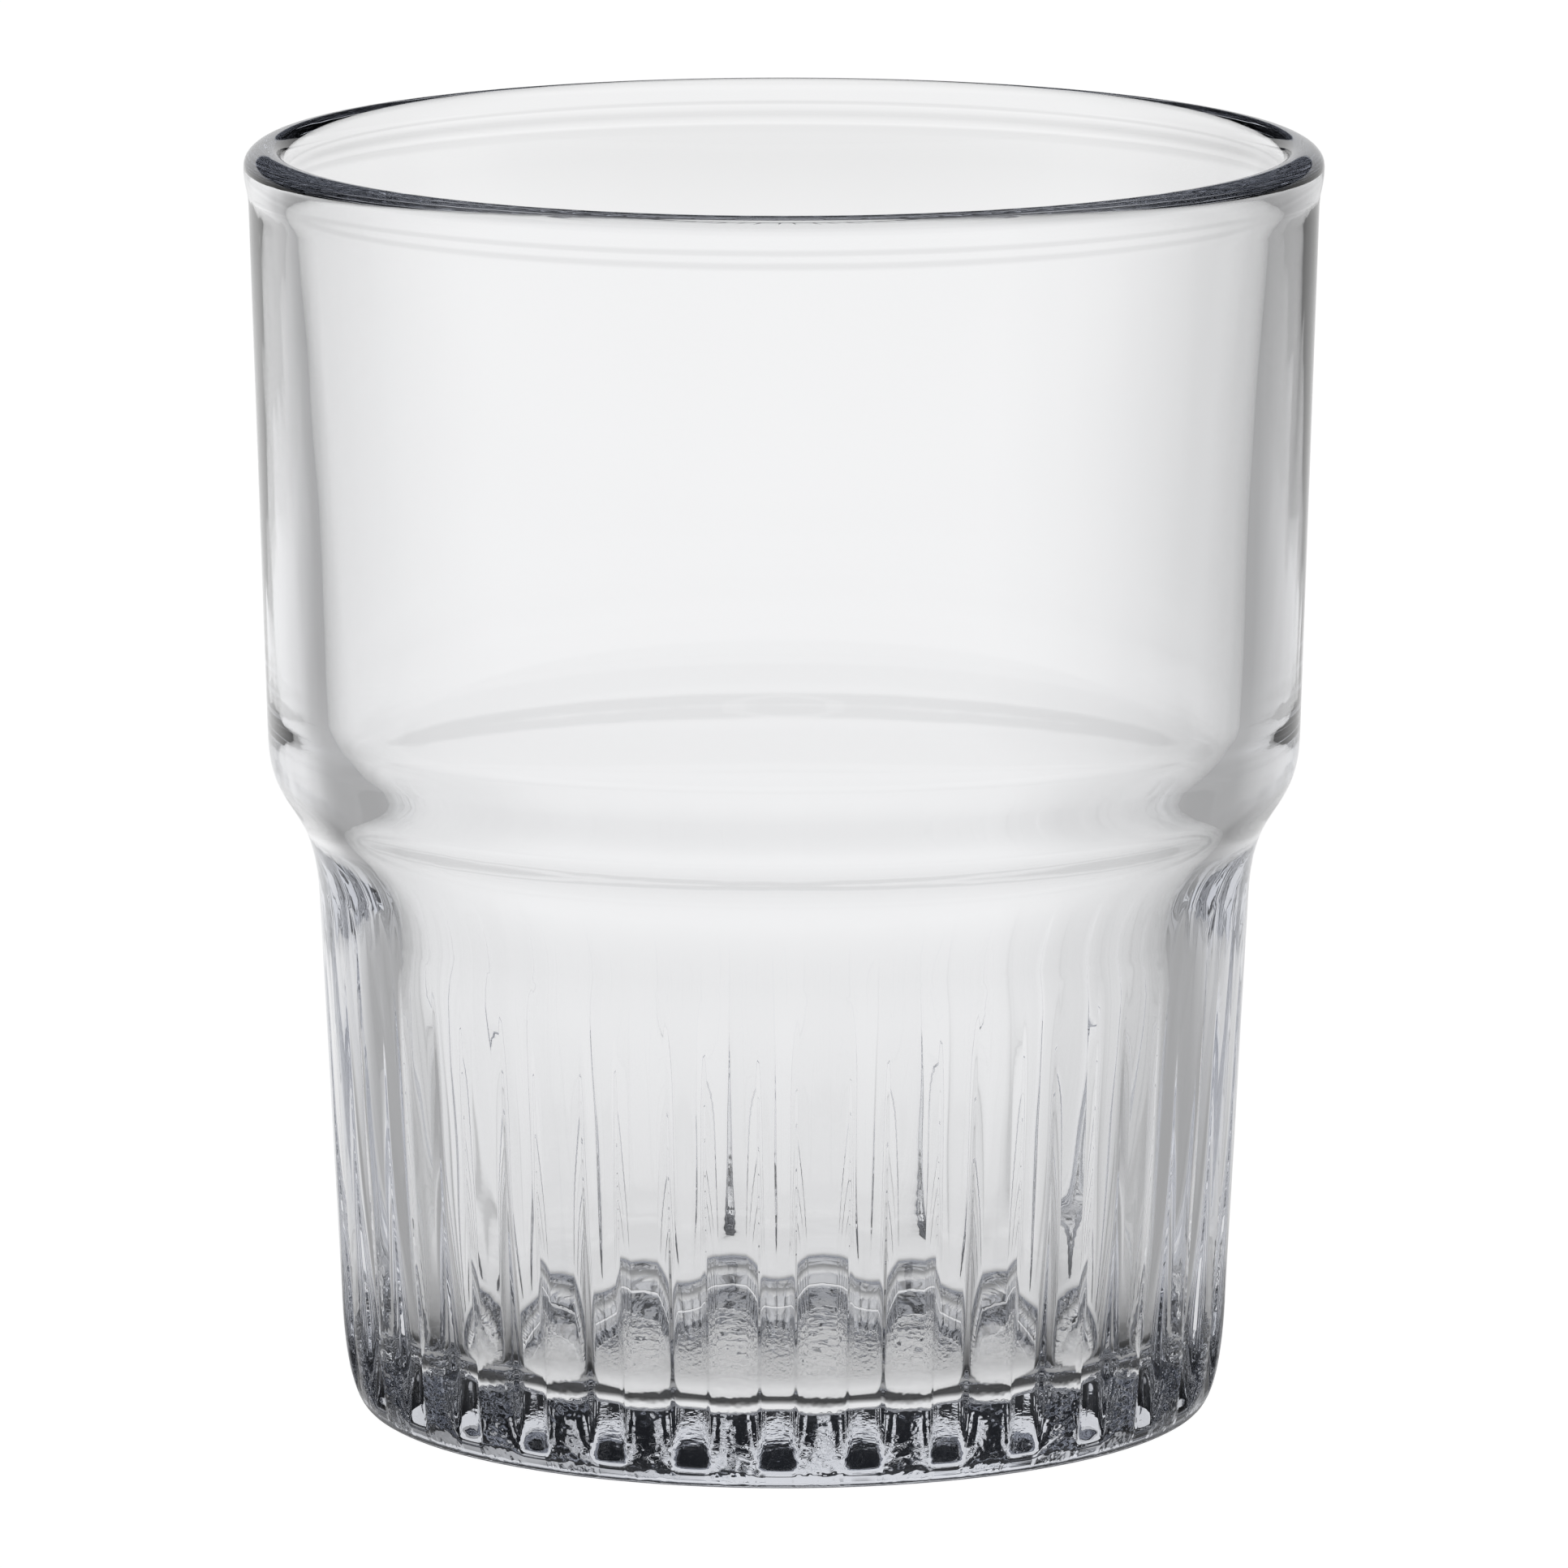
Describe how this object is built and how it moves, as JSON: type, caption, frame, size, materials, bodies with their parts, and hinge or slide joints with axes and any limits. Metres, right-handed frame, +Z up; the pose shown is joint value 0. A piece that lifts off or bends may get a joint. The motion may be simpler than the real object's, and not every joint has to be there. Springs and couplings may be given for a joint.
{
  "type": "juice glass",
  "caption": "Stacking juice tumbler of clear pressed glass: flared bowl with a rounded lip, stepped shoulder, fluted lower wall and thick base, open at the top.",
  "frame": {"origin": "middle of the foot's resting ring, on the table", "axes": "+Z up along the axis of the glass to its open mouth, -Y towards the front of the picture"},
  "size_m": [0.072, 0.072, 0.0853],
  "materials": {
    "clear_glass": "clear fire-polished pressed glass"
  },
  "bodies": {
    "root": {"tumbler": "clear_glass"}
  },
  "joints": []
}
